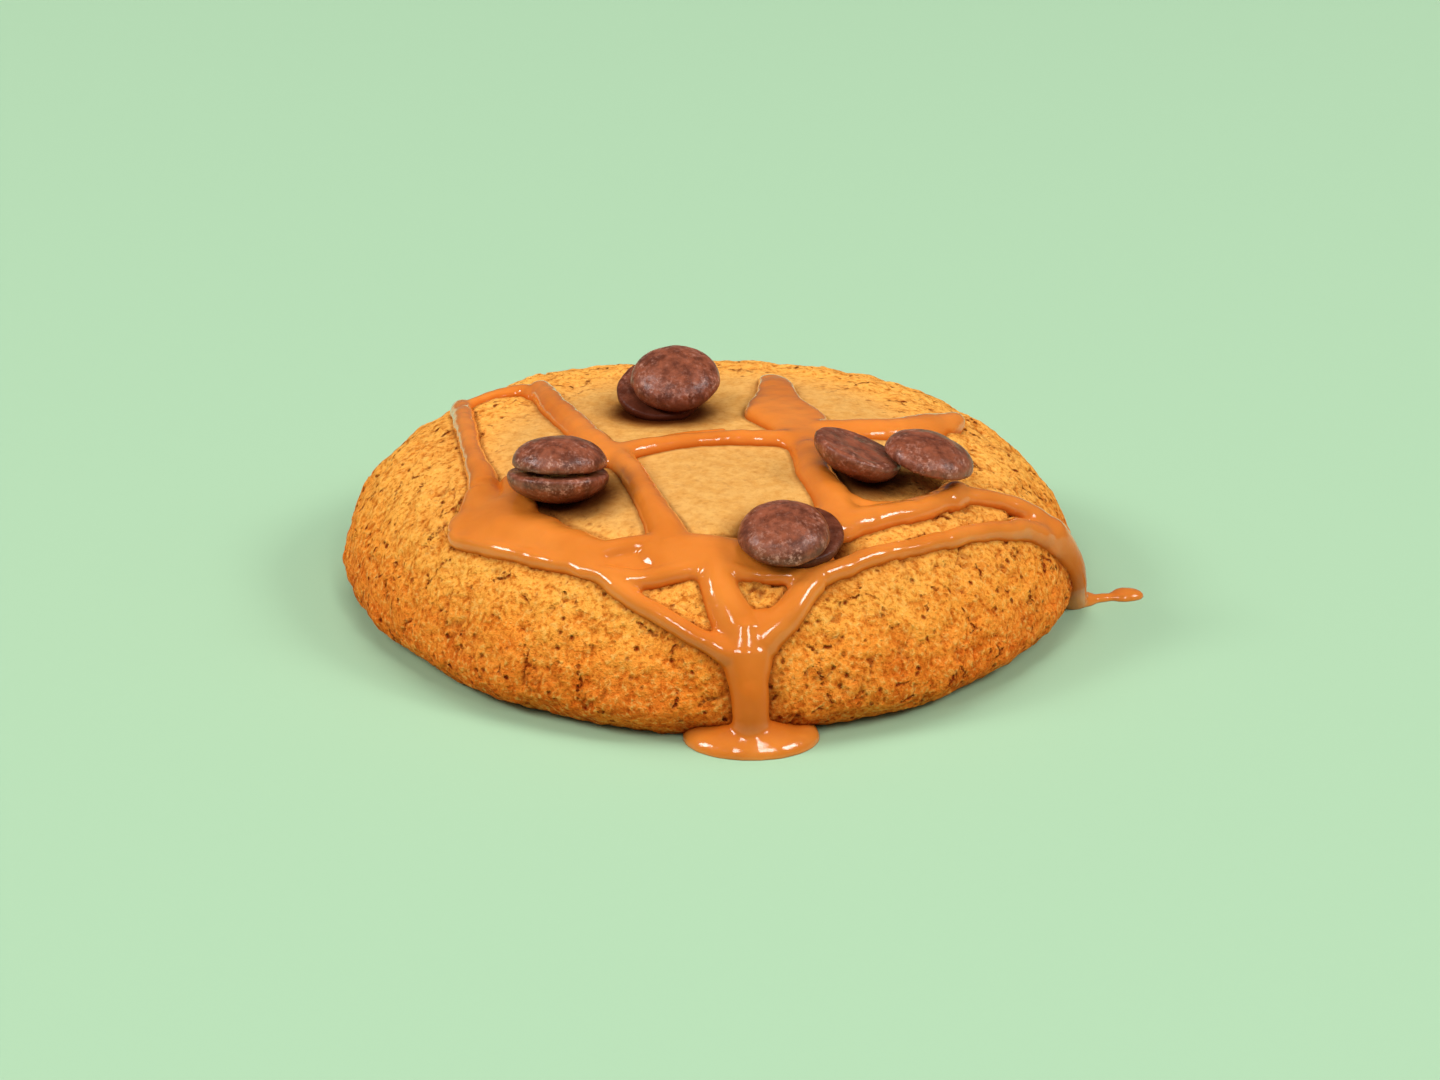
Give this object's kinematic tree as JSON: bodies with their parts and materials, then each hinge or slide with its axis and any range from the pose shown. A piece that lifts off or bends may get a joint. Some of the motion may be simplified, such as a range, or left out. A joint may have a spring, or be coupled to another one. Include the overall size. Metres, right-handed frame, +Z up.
{
  "type": "caramel drizzled cookie",
  "caption": "Thick round soft-baked cookie with a poured caramel lattice, a run of caramel down to a small puddle, and pairs of chocolate drops on top.",
  "frame": {"origin": "middle of the cookie's flat underside, on the surface that it rests on", "axes": "+Z up; the run of caramel with the puddle faces -Y, and the small splash lies towards +X"},
  "size_m": [0.0964, 0.0911, 0.0281],
  "materials": {
    "crumb": "matte golden baked crumb, fine cracks and pores",
    "caramel": "glossy amber caramel",
    "chocolate": "satin milk chocolate, lightly scuffed"
  },
  "bodies": {
    "root": {"cookie": "crumb", "chocolate_left_lower": "chocolate", "chocolate_left_upper": "chocolate", "chocolate_back_lower": "chocolate", "chocolate_back_upper": "chocolate", "chocolate_front_lower": "chocolate", "chocolate_front_upper": "chocolate", "chocolate_right_lower": "chocolate", "chocolate_right_upper": "chocolate"}
  },
  "joints": []
}
